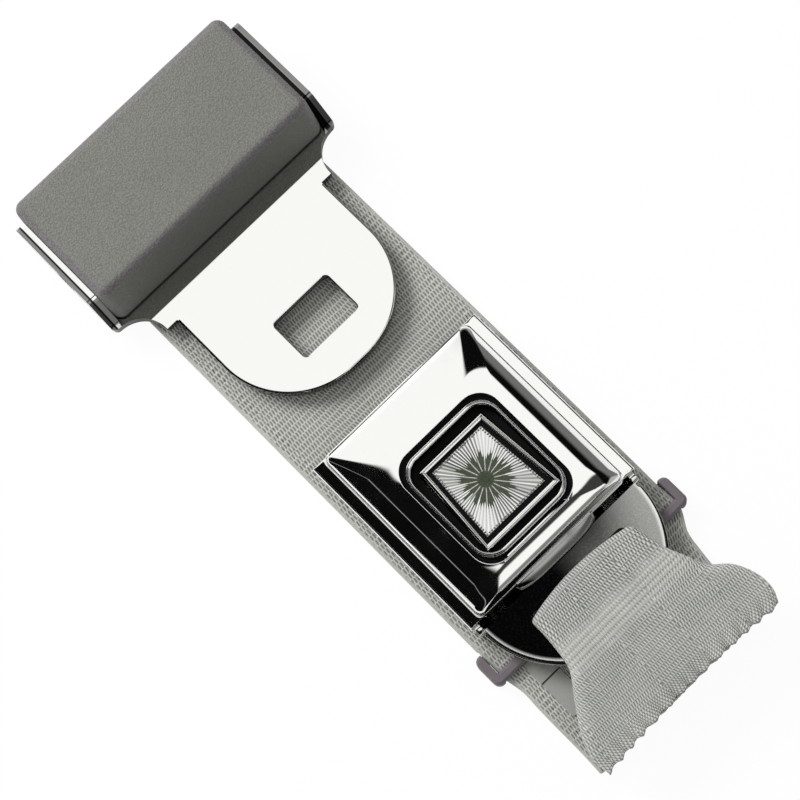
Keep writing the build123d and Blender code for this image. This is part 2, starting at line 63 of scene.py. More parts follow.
# %% Place the camera
camera_data = bpy.data.cameras.new("camera")
camera_data.sensor_width = 36.0
camera_data.lens = 112.9
camera = bpy.data.objects.new("camera", camera_data)
bpy.context.scene.collection.objects.link(camera)
right = Vector((0.69192, 0.71561, -0.09566))
up = Vector((-0.68322, 0.69184, 0.23361))
back = right.cross(up).normalized()
up = back.cross(right).normalized()
turn = Matrix((right, up, back)).transposed().to_4x4()
camera_place = Matrix.Translation((0.09229, -0.04857, 0.49354))
camera.matrix_world = camera_place @ turn
bpy.context.scene.camera = camera
bpy.context.scene.view_settings.view_transform = "Standard"
print("camera lens:", camera_data.lens, "mm")

# %% [markdown]
# ## Shader wiring
#
# A material is a graph of nodes. Writing each Math node by hand hides the idea behind it, so a socket is
# wrapped in a small class whose operators add the nodes. Every other node comes from one method.


# %% A socket that can be reckoned with
class Wire:
    """A socket in a shader. Arithmetic on it adds Math nodes."""

    def __init__(self, tree, socket=None):
        self.tree = tree
        self.socket = socket

    def node(self, kind, settings=None, inputs=None, output=0):
        """Add a node with its settings and the values or links of its sockets."""
        made = self.tree.nodes.new(kind)
        for name, value in (settings or {}).items():
            setattr(made, name, value)
        for name, value in (inputs or {}).items():
            if isinstance(value, Wire):
                self.tree.links.new(value.socket, made.inputs[name])
            else:
                made.inputs[name].default_value = value
        return Wire(self.tree, made.outputs[output])

    def maths(self, operation, *values):
        return self.node("ShaderNodeMath", {"operation": operation}, dict(enumerate(values)))

    def __add__(self, other):
        return self.maths("ADD", self, other)

    def __radd__(self, other):
        return self.maths("ADD", other, self)

    def __sub__(self, other):
        return self.maths("SUBTRACT", self, other)

    def __rsub__(self, other):
        return self.maths("SUBTRACT", other, self)

    def __mul__(self, other):
        return self.maths("MULTIPLY", self, other)

    def __rmul__(self, other):
        return self.maths("MULTIPLY", other, self)

    def __truediv__(self, other):
        return self.maths("DIVIDE", self, other)

    def __pow__(self, other):
        return self.maths("POWER", self, other)

    def __neg__(self):
        return self.maths("MULTIPLY", self, -1.0)

    def __abs__(self):
        return self.maths("ABSOLUTE", self)


# %% Short names for the nodes that every finish uses
def ease(value, low, high):
    """0 below low, 1 above high, smooth between."""
    return value.node(
        "ShaderNodeMapRange",
        {"interpolation_type": "SMOOTHSTEP"},
        {"Value": value, "From Min": low, "From Max": high, "To Min": 0.0, "To Max": 1.0},
    )


def fade(value, low, high):
    """1 below low, 0 above high, smooth between."""
    return 1.0 - ease(value, low, high)


def larger(value, other):
    return value.maths("MAXIMUM", value, other)


def smaller(value, other):
    return value.maths("MINIMUM", value, other)


def distance(east, north):
    """How far a point lies from a centre, from its two offsets."""
    return east.maths("SQRT", east * east + north * north)


def blend(mask, low, high):
    """A colour between low, where the mask is 0, and high, where it is 1."""
    low, high = [end if isinstance(end, Wire) else (*end, 1.0) for end in (low, high)]
    return mask.node(
        "ShaderNodeMix", {"data_type": "RGBA", "clamp_factor": False}, {0: mask, 6: low, 7: high}, output=2
    )


# %% Start a finish and plug values into it
def finish(name, colour, roughness, metallic=0.0, **sockets):
    """A new material with its constant values set on the shader itself, and a wire to draw with."""
    material = bpy.data.materials.new(name)
    material.use_nodes = True
    shader = material.node_tree.nodes["Principled BSDF"]
    shader.inputs["Base Color"].default_value = (*colour, 1.0)
    shader.inputs["Roughness"].default_value = roughness
    shader.inputs["Metallic"].default_value = metallic
    for socket, value in sockets.items():
        shader.inputs[socket.replace("_", " ")].default_value = value
    return material, Wire(material.node_tree), shader


def plug(value, shader, socket):
    value.tree.links.new(value.socket, shader.inputs[socket])


def axes(wire, source="Object"):
    """The three coordinates of a point, in millimetres."""
    coordinates = wire.node("ShaderNodeTexCoord", output=source)
    parts = [wire.node("ShaderNodeSeparateXYZ", inputs={0: coordinates}, output=k) for k in range(3)]
    return coordinates, [part * 1000.0 for part in parts]


def upward(wire):
    """1 where the surface faces up, 0 where it stands upright."""
    normal = wire.node("ShaderNodeTexCoord", output="Normal")
    return wire.node("ShaderNodeSeparateXYZ", inputs={0: normal}, output=2)


def noise(coordinates, pitch, detail=2.0, roughness=0.5):
    """Cloudy noise whose lumps are about pitch millimetres across."""
    return coordinates.node(
        "ShaderNodeTexNoise",
        inputs={"Vector": coordinates, "Scale": 1000.0 / pitch, "Detail": detail, "Roughness": roughness},
    )


def relief(height, depth, shader):
    """A bump whose height of 1 stands depth millimetres above 0."""
    sockets = {"Height": height, "Distance": depth / 1000.0, "Strength": 1.0}
    bump = height.node("ShaderNodeBump", inputs=sockets)
    plug(bump, shader, "Normal")


# %% [markdown]
# ## Chrome and steel
#
# Polished chrome has almost no colour of its own: what is seen is the room. The surface still isn't perfect.
# The plating follows a faint orange peel in the pressed steel, and handling leaves hairlines and smears that
# show as a change in roughness. Both are kept very small, because a mirror shows the least tilt.


# %% Bright chrome plate
def chrome(name, colour=(0.93, 0.93, 0.915), smear=0.05, peel=0.0006, pressing=None):
    """Smear is how much handling dulls the plate, and peel the height of its orange peel in millimetres."""
    material, wire, shader = finish(name, colour, 0.05, 1.0)
    coordinates, place = axes(wire)
    smears = noise(coordinates, 9.0, 4.0, 0.6)
    drawn_out = wire.node(
        "ShaderNodeMapping", inputs={"Vector": coordinates, "Scale": (350.0, 6000.0, 6000.0)}
    )
    hairs = wire.node("ShaderNodeTexNoise", inputs={"Vector": drawn_out, "Scale": 1.0, "Detail": 3.0})
    roughness = 0.035 + ease(smears, 0.45, 0.75) * smear + ease(hairs, 0.6, 0.8) * 0.05
    plug(roughness, shader, "Roughness")
    height = noise(coordinates, 1.1, 2.0) * peel
    if pressing:
        height = height - pressing(coordinates, place, colour, shader)
    relief(height, 1.0, shader)
    return material


# %% [markdown]
# The tongue's plate is blanked and bent in a press, which rolls its outline and its slot over by a few tenths
# of a millimetre. Facets that small would be costly on the solid, so the finish tilts the surface near the
# edge instead. The way to the edge comes from the same arcs as the solid's outline. The plate also dips a
# little under the cap, where its colour is darkened as a painted reflection of the cap. Its upright sides are
# painted dark as shade, and the ears carry a grey strip and dark lines painted as reflections of the room.

# %% The form of the tongue's pressing, in millimetres
plate_top = (6.6, 6.9)
cap_front, cap_dip = -73.6, 0.24
shoulder_x, shoulder_y, shoulder_radius = -55.3, 2.0, 18.5
slot_x, slot_reach, slot_half, slot_corner = -50.0, 4.0, 6.5, 0.85
roll_width, roll_steepness = 0.42, 1.7
neck_x = -69.4
ear_inside, ear_front = 28.9, -76.0


def tongue_pressing(coordinates, place, colour, shader):
    """Colour the plate, its sides and its ears, partly with painted shade and reflections. Gives how far the
    surface dips, in millimetres.
    """
    x, y, z = place
    facing = upward(x)
    beside = abs(y)
    on_plate = fade(z, *plate_top)
    dip = larger(cap_front - x, 0.0) * cap_dip * on_plate
    to_rim = shoulder_radius - distance(larger(x - shoulder_x, 0.0), larger(beside - shoulder_y, 0.0))
    past_end, past_side = larger(abs(x - slot_x) - slot_reach, 0.0), larger(beside - slot_half, 0.0)
    to_slot = distance(past_end, past_side) - slot_corner
    roll = larger(roll_width - smaller(to_rim, to_slot), 0.0) * ease(x, neck_x - 0.2, neck_x + 0.2)
    dip = dip + roll * roll * roll_steepness * (on_plate * ease(facing, 0.8, 0.95))
    # painted reflection: the plate's colour is darkened towards the cap, standing in for the cap mirrored in it
    painted_cap_reflection = fade(x, cap_front - 0.3, cap_front + 0.3) * on_plate
    painted_cap_reflection = painted_cap_reflection * (0.55 + 0.45 * noise(coordinates, 0.5, 3.0))
    face = blend(painted_cap_reflection, colour, (0.62, 0.62, 0.61))
    # on the two ears, a grey outer strip and a dark line along each are painted reflections of the room
    ear = ease(beside, ear_inside, 29.2) * fade(x, ear_front - 1.5, ear_front)
    face = blend(ear * ease(beside, 30.3, 30.4), face, (0.25, 0.25, 0.25))
    painted_reflection_left = ease(y, ear_inside, 29.0) * fade(y, 30.25, 30.4)
    painted_reflection_right = ease(-y, 30.2, 30.35) * fade(-y, 30.6, 30.75)
    face = blend(ear * (painted_reflection_left + painted_reflection_right), face, (0.012, 0.012, 0.012))
    # painted shade: the plate's upright sides are darkened in colour
    side = fade(facing, 0.2, 0.42) * fade(z, 6.8, 7.4)
    plug(blend(side, face, (0.12, 0.12, 0.115)), shader, "Base Color")
    return dip


cover_chrome = chrome("cover_chrome")
tongue_chrome = chrome("tongue_chrome", smear=0.03, pressing=tongue_pressing)
button_chrome = chrome("button_chrome", smear=0.02, peel=0.0002)
# painted reflection: the rear lip's chrome is darkened, standing in for the webbing mirrored in it
lip_chrome = chrome("lip_chrome", (0.36, 0.36, 0.35), smear=0.25)
print("chrome finishes:", cover_chrome.name, tongue_chrome.name, button_chrome.name)


# %% [markdown]
# Inside the buckle nothing is polished. The latch, its pin and the ejector are zinc plated, which leaves a
# cloudy bloom, and the springs are drawn wire. The frame's tail is different again: its steel is unpolished
# and speckled, and only its rim is bright. Its half where y is negative is painted nearly black as a reflection
# of a dark wall; the rest is pale, with painted light towards its +y edge and painted shadow next to the cover.
# Noise with a narrow threshold gives the specks.


# %% Zinc-plated inner steel and spring wire
def plated(name, colour, roughness):
    """Plate with a cloudy bloom in its colour and its gloss."""
    material, wire, shader = finish(name, colour, roughness, 1.0)
    coordinates, _ = axes(wire)
    bloom = noise(coordinates, 1.6, 4.0, 0.65)
    plug(blend(ease(bloom, 0.35, 0.7), [c * 0.72 for c in colour], colour), shader, "Base Color")
    plug(roughness + bloom * 0.2, shader, "Roughness")
    relief(noise(coordinates, 0.35, 3.0), 0.004, shader)
    return material


inner_steel = plated("zinc_plate", (0.62, 0.61, 0.57), 0.22)
wire_steel = plated("spring_wire", (0.42, 0.42, 0.43), 0.25)
bar_steel = plated("bar_plate", (0.5, 0.5, 0.49), 0.2)
print("plated finishes:", inner_steel.name, wire_steel.name, bar_steel.name)


# %% The frame: bright channel, unpolished tail with a bright rim, in millimetres
tail_start, tail_centre_x, tail_rim_radius = 17.3, 20.1, 19.9


def frame_metal():
    """One finish for the whole frame. The tail is nearly black where y is negative, a painted reflection of a
    dark wall, and pale elsewhere.
    """
    material, wire, shader = finish("frame_plate", (0.5, 0.5, 0.48), 0.2, 1.0)
    coordinates, (x, y, _) = axes(wire)
    # painted reflection: the tail's half where y is negative is nearly black, standing in for a dark wall
    # mirrored in it
    painted_reflection_mask = ease(y + noise(coordinates, 6.0, 2.0) * 5.0, -2.0, 9.0)
    speck = ease(noise(coordinates, 0.42, 4.0, 0.75), 0.48, 0.72)
    painted_light = ease(y + x * 0.35, 15.0, 29.0)
    dark = blend(speck, (0.0015, 0.0015, 0.0018), (0.012, 0.012, 0.014))
    pale = blend(speck, (0.09, 0.09, 0.083), (0.28, 0.28, 0.265))
    # painted shadow: the pale half darkens next to the cover
    pale = blend(fade(x, 18.5, 26.0), pale, (0.03, 0.03, 0.03))
    # painted light: the pale half brightens towards the tail's +y edge
    pale = blend(painted_light, pale, blend(speck, (0.34, 0.34, 0.33), (0.66, 0.66, 0.65)))
    rim = ease(distance(x - tail_centre_x, y), tail_rim_radius, tail_rim_radius + 1.0)
    blank = ease(x, tail_start, tail_start + 0.3) * (1.0 - rim)
    plug(blend(blank, (0.84, 0.84, 0.825), blend(painted_reflection_mask, dark, pale)), shader, "Base Color")
    plug(0.10 + speck * blank * 0.3, shader, "Roughness")
    relief(noise(coordinates, 0.42, 3.0, 0.7) * blank, 0.012, shader)
    return material


frame_plate = frame_metal()
print("frame finish:", frame_plate.name)

# %% [markdown]
# ## Moulded plastics
#
# The grip cap is moulded in a spark-eroded tool, which leaves a fine leather-like grain that a hand doesn't
# slip on. Cell noise gives the small rounded islands. The sloped faces are tinted a little warmer and darker,
# and the steep flanks are painted darker as shade. The keeper is the same family of plastic without the grain.


# %% Grained grip and smooth keeper
def grained_plastic():
    """Leather grain on the top and the slopes, and plainer flanks that are painted darker as shade."""
    material, wire, shader = finish("grained_grip", (0.19, 0.19, 0.175), 0.62, Specular_IOR_Level=0.35)
    coordinates, (_, _, z) = axes(wire)
    swirl = wire.node("ShaderNodeTexNoise", inputs={"Vector": coordinates, "Scale": 1400.0}, output=1)
    bent = wire.node(
        "ShaderNodeMix", {"data_type": "VECTOR"}, {0: 0.00022, 4: coordinates, 5: swirl}, output=1
    )
    islands = wire.node(
        "ShaderNodeTexVoronoi", {"feature": "SMOOTH_F1"}, {"Vector": bent, "Scale": 2900.0, "Smoothness": 0.8}
    )
    grain = ease(islands, 0.15, 0.75)
    facing = upward(wire)
    sloped_face_tint = ease(facing, 0.3, 0.6) * fade(facing, 0.86, 0.995)
    flank = fade(facing, 0.2, 0.45)
    cloud = noise(coordinates, 14.0, 3.0)
    face = blend(ease(cloud, 0.35, 0.65), (0.216, 0.216, 0.199), (0.224, 0.224, 0.206))
    # the sloped faces between top and flank are tinted mauve and a little darker
    face = blend(sloped_face_tint * 0.9, face, (0.190, 0.168, 0.186))
    # painted shade: the steep flanks are darker in colour
    face = blend(flank, face, (0.150, 0.152, 0.136))
    face = blend(grain * (0.5 - flank * 0.4), face, (0.09, 0.09, 0.085))
    # the shadow line where the cap sits on the plate
    face = blend(flank * fade(z, 6.7, 7.2), face, (0.004, 0.004, 0.004))
    plug(face, shader, "Base Color")
    plug(0.5 + grain * 0.2, shader, "Roughness")
    relief((1.0 - grain) * (1.0 - flank * 0.7), 0.07, shader)
    return material


def smooth_plastic(name, colour, roughness, **sockets):
    """Moulded plastic with a faint cloudiness."""
    material, wire, shader = finish(name, colour, roughness, **sockets)
    coordinates, _ = axes(wire)
    cloud = noise(coordinates, 5.0, 3.0)
    plug(blend(ease(cloud, 0.3, 0.7), [c * 0.9 for c in colour], colour), shader, "Base Color")
    plug(roughness + cloud * 0.12, shader, "Roughness")
    relief(noise(coordinates, 0.5, 3.0), 0.006, shader)
    return material


grip_plastic = grained_plastic()
keeper_plastic = smooth_plastic("keeper_grey", (0.165, 0.142, 0.158), 0.45)
guide_plastic_and_painted_shade = smooth_plastic("guide_black_and_painted_shade", (0.006, 0.006, 0.007), 0.4, Specular_IOR_Level=0.08)
print("plastics:", grip_plastic.name, keeper_plastic.name, guide_plastic_and_painted_shade.name)

# %% [markdown]
# ## Webbing
#
# Belt webbing is woven in lanes across the strap. In each lane the warp yarns lie side by side with thin dark
# gaps between them, and the next lane's yarns are shifted by about a quarter of a yarn, so the eye sees fine
# diagonals. Five panels, each a fifth of the width, lean in turn to one side and to the other, which makes
# a broad herringbone. The pattern is drawn on the strip's own flat map, so it follows every bend. First comes
# the pattern itself, which says where a yarn stands up and where a gap lies, and then its colours.


# %% The herringbone pattern on a strip's flat map, in millimetres
never = 900.0       # a place along the strip that is past its end
panel_width = 9.8
hem_start, hem_full = 23.7, 23.95


def weave(wire, lane, yarn, tight, gathered):
    """Lane and yarn are the pitches along and across. Past tight, the lanes are nearly twice as close."""
    _, (u, v, _) = axes(wire, "UV")
    flat = wire.node("ShaderNodeCombineXYZ", inputs={0: u, 1: v, 2: 0.0})
    drift = wire.node("ShaderNodeTexNoise", inputs={"Vector": flat, "Scale": 0.16, "Detail": 2.0}) - 0.5
    jitter = wire.node("ShaderNodeTexNoise", inputs={"Vector": flat, "Scale": 1.1, "Detail": 2.0}) - 0.5
    # where the strip is gathered its edges curl under, so the yarns keep their pitch
    across = u * (0.56 + 0.42 * ease(v, 40.0, 58.0)) - 0.9 if gathered else u
    from_middle = abs(across + drift * 0.6)
    inner = wire.maths("GREATER_THAN", from_middle, panel_width / 2)
    outer = wire.maths("GREATER_THAN", from_middle, panel_width * 3 / 2)
    lean = 1.0 - (inner - outer) * 2.0
    along = v / lane + larger(v - tight, 0.0) * (0.9 / lane) + drift * 0.35
    row = wire.maths("FLOOR", along)
    within = along - row - 0.5
    slant = row * 0.27 - within * (0.115 * lane / yarn)
    phase = across / yarn + lean * slant + drift * 0.8 + jitter * 0.22
    crest = 0.5 - 0.5 * wire.maths("COSINE", phase * FULL_TURN)
    middle = fade(abs(within), 0.27, 0.5)
    gap = ((1.0 - crest) ** 1.5) * (middle * 0.88 + 0.12)
    knuckle = crest * (1.0 - middle)
    stitch = wire.maths("SINE", v * (FULL_TURN / 1.6)) * fade(abs(from_middle - 22.2), 0.25, 0.5)
    return SimpleNamespace(
        u=u, v=v, flat=flat, drift=drift, jitter=jitter, within=within, crest=crest, gap=gap, knuckle=knuckle,
        stitch=stitch,
    )


# %% The colours and the sheen of webbing
def woven(
    name, light, dark, lane=1.37, yarn=0.675, calm=(), contrast=1.0, glint=0.0, tight=never, uneven=0.22,
    fold=never, gathered=False,
):
    """Calm lists worn stretches as (middle, half length). Glint is a painted highlight on the yarns, strongest
    past fold.
    """
    material, wire, shader = finish(
        name, light, 0.75, Sheen_Weight=0.2, Sheen_Roughness=0.5, Specular_IOR_Level=0.25
    )
    web = weave(wire, lane, yarn, tight, gathered)
    gap, knuckle, along = web.gap, web.knuckle, web.v
    for centre, half in calm:
        hush = fade(abs(along - centre + web.drift * 2.0), half * 0.6, half)
        hush = hush * (0.55 + 0.3 * wire.maths("SINE", along * 4.6))
        gap = gap * (1.0 - hush)
        knuckle = knuckle * (1.0 - hush) + hush * 0.2 * web.crest
    hem = ease(abs(web.u), hem_start, hem_full)
    gap = gap * (1.0 - hem) + hem * 0.22
    patchy = wire.node("ShaderNodeTexNoise", inputs={"Vector": web.flat, "Scale": 0.09, "Detail": 3.0})
    stretched = wire.node("ShaderNodeMapping", inputs={"Vector": web.flat, "Scale": (7.0, 0.9, 1.0)})
    fibre = wire.node("ShaderNodeTexNoise", inputs={"Vector": stretched, "Scale": 1.0, "Detail": 2.0})
    # painted highlight: a bright lens in the middle of each yarn, scaled by glint
    painted_highlight = web.crest * fade(abs(web.within), 0.05, 0.42)
    level = 1.0 - glint + painted_highlight * glint * 1.6
    level = level - gap * contrast + knuckle * (0.16 - glint * 0.8) + web.stitch * 0.22
    # painted highlight: just past the fold the yarns are drawn brighter and their gaps darker
    painted_light = glint * ease(along, fold, fold + 2.0) * fade(along, fold + 3.0, fold + 8.5)
    level = level + painted_light * (painted_highlight * 2.2 - gap * 1.2)
    level = level + (patchy - 0.5) * uneven + (fibre - 0.5) * 0.28 + web.jitter * 0.1
    plug(blend(smaller(larger(level, 0.0), 1.25), dark, light), shader, "Base Color")
    plug(0.62 + gap * 0.2, shader, "Roughness")
    relief(web.crest * 0.5 - gap * 0.6 + knuckle * 0.3 + fibre * 0.1, 0.12 + glint * 0.3, shader)
    return material


strap_cloth = woven("strap_webbing", (0.52, 0.52, 0.49), (0.07, 0.07, 0.065), contrast=0.8)
stub_cloth = woven(
    "stub_webbing", (0.58, 0.575, 0.545), (0.125, 0.15, 0.14), lane=1.2, yarn=0.58, calm=((43.5, 4.2),),
    contrast=0.66, glint=0.22, tight=60.5, uneven=0.5, fold=32.0, gathered=True,
)
print("webbing finishes:", strap_cloth.name, stub_cloth.name)


# %% [markdown]
# The patch near the strap's end is a smooth tape without any print. Two sine waves that cross give its fine
# plain weave, and one dark line is the seam that holds it.

# %% A blank sewn patch, in millimetres
seam_x = 35.0


def patch_weave():
    """Fine plain tape with one seam across it."""
    material, wire, shader = finish("patch_cloth", (0.34, 0.34, 0.325), 0.7)
    _, (x, y, _) = axes(wire)
    threads = wire.maths("SINE", x * 18.0) * wire.maths("SINE", y * 18.0)
    cloth = blend(ease(threads, -0.8, 0.8), (0.3, 0.3, 0.285), (0.38, 0.38, 0.36))
    seam = fade(abs(x - seam_x), 0.12, 0.22)
    plug(blend(seam, cloth, (0.02, 0.02, 0.02)), shader, "Base Color")
    relief(threads, 0.01, shader)
    return material


patch_cloth = patch_weave()
print("patch finish:", patch_cloth.name)

# %% [markdown]
# ## Dressing the frame's own solids
#
# A pressed or moulded solid whose shape is already right keeps its mesh and gets a finish. The keeper and the
# base frame also get a small bevel, because it is the rounded edge that catches light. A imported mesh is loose
# triangles, so modifiers weld it and join its flat faces first, and the bevel then finds the true edges.

# %% Give every solid its finish
for material, *nodes in (
    (tongue_chrome, "tongue_plate"),
    (grip_plastic, "tongue_cover"),
    (bar_steel, "adjuster_bar"),
    (strap_cloth, "strap_standing", "strap_loop", "strap_tail"),
    (patch_cloth, "strap_patch"),
    (keeper_plastic, "web_keeper"),
    (frame_plate, "base_frame"),
    (cover_chrome, "cover_shell"),
    (guide_plastic_and_painted_shade, "button_guide"),
    (inner_steel, "latch_pin", "latch_lever", "ejector"),
    (wire_steel, "ejector_spring_a", "ejector_spring_b", "release_spring"),
    (button_chrome, "button_frame", "button_insert"),
    (stub_cloth, "stub_upper", "stub_lower"),
):
    for node in nodes:
        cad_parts[node].data.materials.clear()
        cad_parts[node].data.materials.append(material)
print("dressed solids:", len(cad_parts))


# %% Round the edges of two of them
def round_edges(node, radius):
    """Bevel a solid's edges. The radius is in millimetres."""
    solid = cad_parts[node]
    weld = solid.modifiers.new("weld", "WELD")
    weld.merge_threshold = 1e-6
    planar = solid.modifiers.new("planar", "DECIMATE")
    planar.decimate_type = "DISSOLVE"
    planar.angle_limit = math.radians(0.5)
    edge = solid.modifiers.new("edge", "BEVEL")
    edge.width, edge.segments = radius / 1000.0, 4
    edge.limit_method, edge.angle_limit = "ANGLE", math.radians(35.0)
    edge.harden_normals = False
    even = solid.modifiers.new("normals", "WEIGHTED_NORMAL")
    even.keep_sharp = False
    print(node, "edges rounded by", radius, "mm")


round_edges("web_keeper", 0.35)
round_edges("base_frame", 0.25)

# %% [markdown]
# ## Webbing that is bent, gathered and cut
#
# Belt webbing is stiff across its width and limp along it, so it is modelled as a thin sheet that follows a
# path, not as cloth under simulation, which would lose its crisp edges. A flat grid is the strip as it came
# off the loom. Its map is written first, in metres, and then each vertex is carried to its place. A Solidify
# modifier gives the thickness, and a little Bevel rounds the selvedge.


# %% A smooth curve through a few points
def through(*points):
    """A smooth function through the points, flat beyond its ends."""
    xs, ys = np.array(points, float).T
    slopes = np.gradient(ys, xs)

    def value(x):
        x = min(max(x, xs[0]), xs[-1])
        k = min(int(np.searchsorted(xs, x, "right")) - 1, len(xs) - 2)
        span = xs[k + 1] - xs[k]
        t = (x - xs[k]) / span
        return float(
            (1 + 2 * t) * (1 - t) ** 2 * ys[k]
            + t * (1 - t) ** 2 * span * slopes[k]
            + t * t * (3 - 2 * t) * ys[k + 1]
            - t * t * (1 - t) * span * slopes[k + 1]
        )

    return value


# %% A path of straight runs and arcs, in millimetres
arc_step = 0.25


def rounded_run(corners):
    """The length of a path, and the point at each distance along it. Corners are (x, z, radius)."""
    points = [Vector(corners[0][:2])]
    for before, corner, after in zip(corners, corners[1:], corners[2:]):
        here, radius = Vector(corner[:2]), corner[2]
        way_in = (here - Vector(before[:2])).normalized()
        way_out = (Vector(after[:2]) - here).normalized()
        turn = way_in.angle_signed(way_out)
        reach = radius * math.tan(abs(turn) / 2)
        first = here - way_in * reach
        centre = first + way_in.orthogonal() * radius * (-1 if turn > 0 else 1)
        arms = max(3, int(abs(turn) * radius / arc_step))
        arm = first - centre
        for k in range(arms + 1):
            points.append(centre + arm @ Matrix.Rotation(turn * k / arms, 2))
    points.append(Vector(corners[-1][:2]))
    lengths = np.cumsum([0.0] + [(b - a).length for a, b in zip(points, points[1:])])
    xs, zs = np.array(points).T

    def point(s):
        return float(np.interp(s, lengths, xs)), float(np.interp(s, lengths, zs))

    return float(lengths[-1]), point


# %% Turn a bmesh into a piece of the model
def piece(bm, name, material, body, *nodes, slot, smooth=True):
    """The piece rides on a body, and it stands in for the nodes that are named."""
    bmesh.ops.recalc_face_normals(bm, faces=bm.faces[:])
    for face in bm.faces:
        face.smooth = smooth
    mesh = bpy.data.meshes.new(name)
    bm.to_mesh(mesh)
    bm.free()
    made = bpy.data.objects.new(name, mesh)
    bpy.context.scene.collection.objects.link(made)
    mesh.materials.append(material)
    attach(made, body)
    if nodes:
        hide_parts(*nodes)
    print(name, len(mesh.polygons), "faces")
    return made


# %% A strip of webbing, in millimetres
web_gauge = 1.2


def webbing(name, width, length, place, material, body, *nodes, rows, columns):
    """A strip whose point at u across and s along lies at place(u, s)."""
    bm = bmesh.new()
    bmesh.ops.create_grid(bm, x_segments=columns, y_segments=rows, size=0.5)
    chart = bm.loops.layers.uv.new("UVMap")
    for face in bm.faces:
        for loop in face.loops:
            flat = loop.vert.co
            loop[chart].uv = (flat.x * width / 1000, (flat.y + 0.5) * length / 1000)
    for vert in bm.verts:
        vert.co = Vector(place(vert.co.x * width, (vert.co.y + 0.5) * length)) / 1000
    strip = piece(bm, name, material, body, *nodes, slot="webbing")
    thick = strip.modifiers.new("thickness", "SOLIDIFY")
    thick.thickness, thick.offset = web_gauge / 1000, 0.0
    soft = strip.modifiers.new("selvedge", "BEVEL")
    soft.width, soft.segments = 0.00035, 2
    soft.limit_method, soft.angle_limit = "ANGLE", math.radians(50)
    print(name, "is", width, "by", round(length, 1), "mm when flat")
    return strip


# %% [markdown]
# ## The strap of the tongue
#
# One strap comes in from its cut end, runs under the tongue, turns up round the adjuster bar and comes back
# underneath as a free tail. The keeper holds the two layers together. Beyond the keeper nothing holds the
# strap, so it is a little narrower and lies a little askew.

# %% Lay the strap
strap_width = 49.0
upper_z, tail_z, bar_top_z = 1.9, 0.6, 13.7
window_x, bar_rear_x = -86.5, -95.0
strap_length, strap_run = rounded_run(
    [
        (55.4, upper_z, 0), (window_x, upper_z, 2.2), (window_x, bar_top_z, 4.2),
        (bar_rear_x, bar_top_z, 4.2), (bar_rear_x, tail_z, 2.2), (21.5, tail_z, 0),
    ]
)
strap_narrow = through((8, 1.0), (22, 0.995), (29.6, 0.99), (33.5, 0.93), (38, 0.915), (48, 0.90), (56, 0.91))
strap_askew = through((8, 0.0), (22, 0.0), (29.6, 0.0), (34, -0.9), (40, -1.5), (56, -1.8))
loose_length, cut_length = 50, 6


def place_strap(u, s):
    """Where the strap's point at u across and s along lies."""
    x, z = strap_run(s)
    y = u
    if s < loose_length:
        y = u * strap_narrow(x) + strap_askew(x)
        z += 0.05 * math.sin(y * 0.4) * min(1.0, max(0.0, (x - 31) / 6))
    if s < cut_length:
        x += 0.25 * math.sin(u * 1.9) * (1 - s / cut_length)
    return (x, y, z)


strap = webbing(
    "strap", strap_width, strap_length, place_strap, strap_cloth, "tongue", "strap_standing", "strap_loop",
    "strap_tail", rows=300, columns=28,
)

# %% [markdown]
# ## The webbing stub of the buckle
#
# A short piece of the same webbing is threaded through the slot of the frame's tail and folded over. The slot
# is narrower than the webbing, so the webbing gathers: its edges turn down beside the neck, and it spreads to
# its full width towards the cut end, which was sealed with heat and is a little ruffled.

# %% The stub's path and how it spreads, in millimetres
stub_width = 48.0
stub_length, stub_run = rounded_run(
    [
        (52.0, 5.1, 0), (25.5, 5.1, 1.4), (25.5, 8.5, 0.8), (24.5, 9.3, 0.7), (24.6, 10.4, 0.9),
        (27.0, 10.5, 2.0), (40.0, 10.7, 40), (57.0, 12.6, 0),
    ]
)
half_upper = through(
    (23, 13.4), (28, 13.9), (33.8, 15.1), (38, 16.9), (42.4, 19.0), (45.1, 21.8), (48, 23.3), (51.4, 24.1),
    (54.6, 23.8), (57, 22.6),
)
half_lower = through(
    (23, 12.6), (28.8, 12.7), (32.7, 13.0), (37.6, 14.0), (42.7, 17.7), (46.7, 20.5), (50.6, 22.8),
    (53.5, 23.6), (57, 23.4),
)
lip_angle = through((23, 1.7), (34, 1.7), (42, 1.2), (48, 0.75), (53, 0.4), (57, 0.3))
lip_radius = through((23, 1.35), (36, 1.5), (44, 3.2), (50, 4.0), (57, 3.0))
crown = through((23, 0.5), (32, 0.9), (42, 1.5), (50, 1.0), (57, 0.6))
slot_half_width = 12.6
fold_at = stub_length - 38.0
end_x, end_length = 51.5, 5.5


